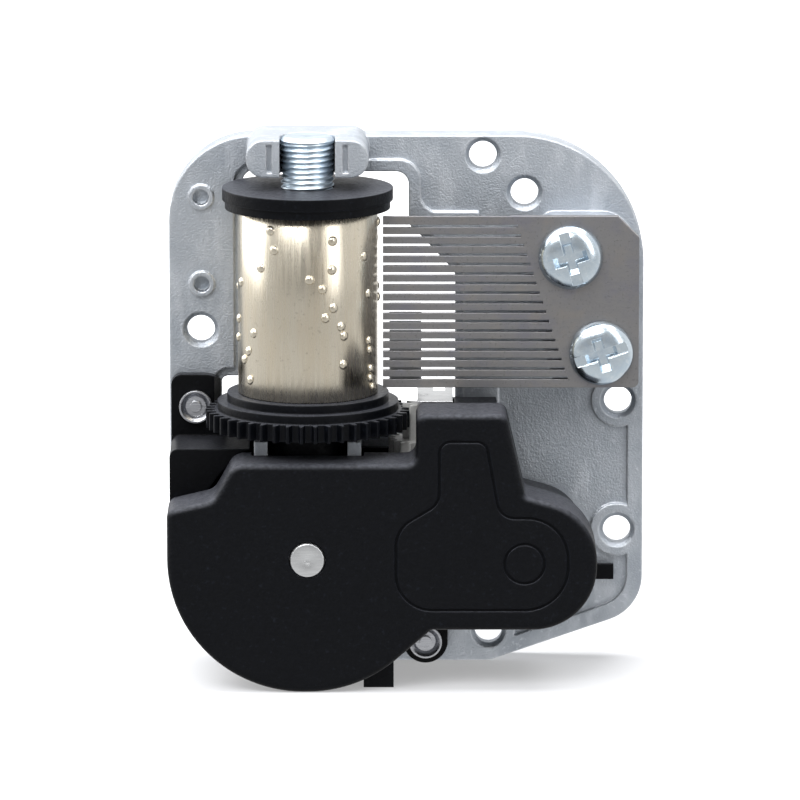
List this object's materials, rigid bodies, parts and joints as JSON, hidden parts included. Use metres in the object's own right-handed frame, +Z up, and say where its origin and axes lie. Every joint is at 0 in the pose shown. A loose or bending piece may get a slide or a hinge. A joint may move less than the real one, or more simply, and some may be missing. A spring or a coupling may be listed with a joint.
{
  "type": "cylinder music box movement",
  "caption": "Wind-up cylinder music movement on a cast bedplate, with pinned cylinder, slit steel comb, spring barrel, fan governor and threaded output shaft.",
  "frame": {"origin": "centre of the footprint, on the floor under the lower edge", "axes": "+Z up along the cylinder, -Y towards the viewer in front of the comb, +X to the comb side"},
  "size_m": [0.0446, 0.0242, 0.051],
  "materials": {
    "bedplate": "as-cast zinc, dull grey",
    "comb": "ground and tempered steel",
    "comb_screws": "bright zinc plating",
    "tuning_weights": "bare lead",
    "dampers": "thin dark film",
    "housing_cover": "fine moulded texture",
    "housing_base": "smooth moulded",
    "housing_rivets": "plain",
    "governor_bracket": "bright sheet",
    "clutch_spring": "spring wire",
    "cylinder_gear": "moulded",
    "cylinder_cap": "moulded",
    "cylinder_sleeve": "warm nickel plating",
    "output_shaft": "bright zinc plating, threaded",
    "spring_barrel": "moulded",
    "barrel_lid": "moulded",
    "mainspring": "blued strip",
    "winding_arbor": "turned, plated",
    "first_wheel": "moulded, light grey",
    "first_arbor": "turned",
    "second_wheel": "moulded, light grey",
    "second_arbor": "turned",
    "worm_shaft": "turned and rolled",
    "fan": "moulded"
  },
  "bodies": {
    "movement": {"bedplate": "bedplate", "comb": "comb", "comb_screws": "comb_screws", "tuning_weights": "tuning_weights", "dampers": "dampers", "housing_cover": "housing_cover", "housing_base": "housing_base", "housing_rivets": "housing_rivets", "governor_bracket": "governor_bracket", "clutch_spring": "clutch_spring"},
    "cylinder": {"cylinder_gear": "cylinder_gear", "cylinder_cap": "cylinder_cap", "cylinder_sleeve": "cylinder_sleeve", "output_shaft": "output_shaft"},
    "barrel": {"spring_barrel": "spring_barrel", "barrel_lid": "barrel_lid", "mainspring": "mainspring"},
    "winding": {"winding_arbor": "winding_arbor"},
    "first_mobile": {"first_wheel": "first_wheel", "first_arbor": "first_arbor"},
    "second_mobile": {"second_wheel": "second_wheel", "second_arbor": "second_arbor"},
    "governor": {"worm_shaft": "worm_shaft", "fan": "fan"}
  },
  "joints": [
    {"name": "cylinder_spin", "type": "hinge", "parent": "movement", "child": "cylinder", "pos_m": [-0.0092, -0.00258, 0.0269], "axis": [0, 0, 1], "continuous": true},
    {"name": "barrel_turn", "type": "hinge", "parent": "movement", "child": "barrel", "pos_m": [-0.0092, -0.00566, 0.0126], "axis": [0, 1, 0], "continuous": true},
    {"name": "winding_turn", "type": "hinge", "parent": "movement", "child": "winding", "pos_m": [-0.0092, 0.00272, 0.0126], "axis": [0, 1, 0], "continuous": true},
    {"name": "first_wheel_turn", "type": "hinge", "parent": "movement", "child": "first_mobile", "pos_m": [0.00156, -0.00168, 0.0237], "axis": [0, 0, 1], "continuous": true},
    {"name": "second_wheel_turn", "type": "hinge", "parent": "movement", "child": "second_mobile", "pos_m": [0.00545, -0.00328, 0.01225], "axis": [0, 0, 1], "continuous": true},
    {"name": "fan_spin", "type": "hinge", "parent": "movement", "child": "governor", "pos_m": [0.01092, -0.00328, 0.01225], "axis": [0, 1, 0], "continuous": true}
  ],
  "couplings": [
    {"joint": "barrel_turn", "follows": "cylinder_spin", "ratio": 0.35714},
    {"joint": "first_wheel_turn", "follows": "cylinder_spin", "ratio": -5.75},
    {"joint": "second_wheel_turn", "follows": "cylinder_spin", "ratio": 14.375},
    {"joint": "fan_spin", "follows": "cylinder_spin", "ratio": -402.5}
  ]
}
